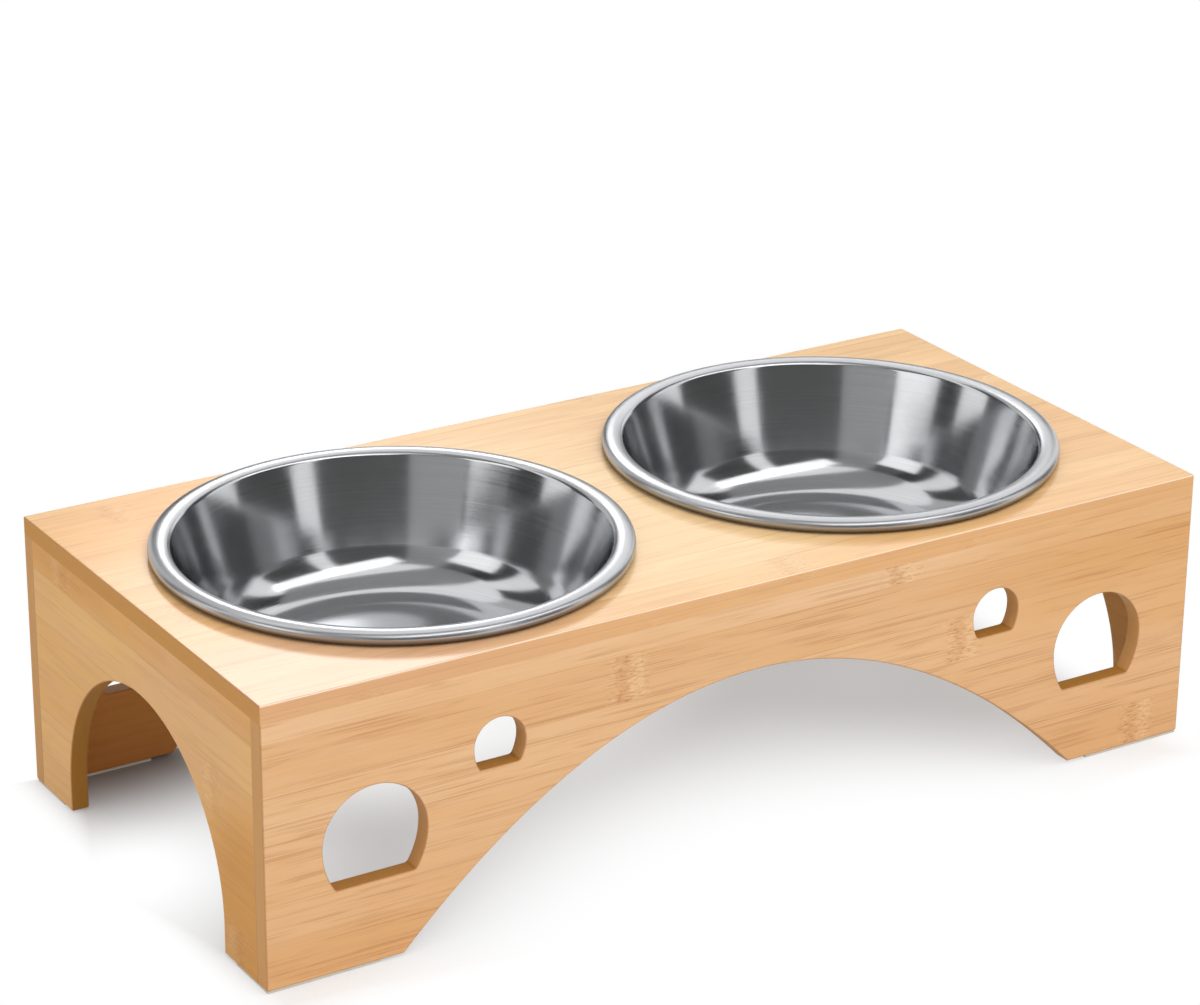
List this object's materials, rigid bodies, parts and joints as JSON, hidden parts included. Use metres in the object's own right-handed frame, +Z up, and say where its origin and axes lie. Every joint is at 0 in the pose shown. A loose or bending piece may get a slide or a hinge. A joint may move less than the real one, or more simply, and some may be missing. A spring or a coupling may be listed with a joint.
{
  "type": "dog feeder stand",
  "caption": "Low bamboo stand with arched sides and D-shaped windows that holds round steel bowls by their rims, so that a dog can eat and drink from a raised height.",
  "frame": {"origin": "middle of the stand's outline at floor level", "axes": "+X along the stand to the right, -Y towards the front with the pictured face, +Z up"},
  "size_m": [0.4, 0.19, 0.1144],
  "materials": {
    "bamboo": "pressed bamboo strips, clear satin lacquer",
    "steel": "polished stainless sheet with a satin rim",
    "dowel_wood": "raw turned bamboo",
    "pad_rubber": "pale matte silicone rubber"
  },
  "bodies": {
    "stand": {"top_panel": "bamboo", "front_panel": "bamboo", "rear_panel": "bamboo", "left_end_panel": "bamboo", "right_end_panel": "bamboo", "dowels_top_front": "dowel_wood", "dowels_top_rear": "dowel_wood", "dowels_top_left": "dowel_wood", "dowels_top_right": "dowel_wood", "dowels_front_left": "dowel_wood", "dowels_front_right": "dowel_wood", "dowels_rear_left": "dowel_wood", "dowels_rear_right": "dowel_wood", "pad_front_left": "pad_rubber", "pad_front_right": "pad_rubber", "pad_rear_left": "pad_rubber", "pad_rear_right": "pad_rubber"},
    "left_bowl": {"left_bowl": "steel"},
    "right_bowl": {"right_bowl": "steel"}
  },
  "joints": [
    {"name": "left_bowl_lift", "type": "slide", "parent": "stand", "child": "left_bowl", "axis": [0, 0, 1], "range_m": [0, 0.08]},
    {"name": "right_bowl_lift", "type": "slide", "parent": "stand", "child": "right_bowl", "axis": [0, 0, 1], "range_m": [0, 0.08]}
  ]
}
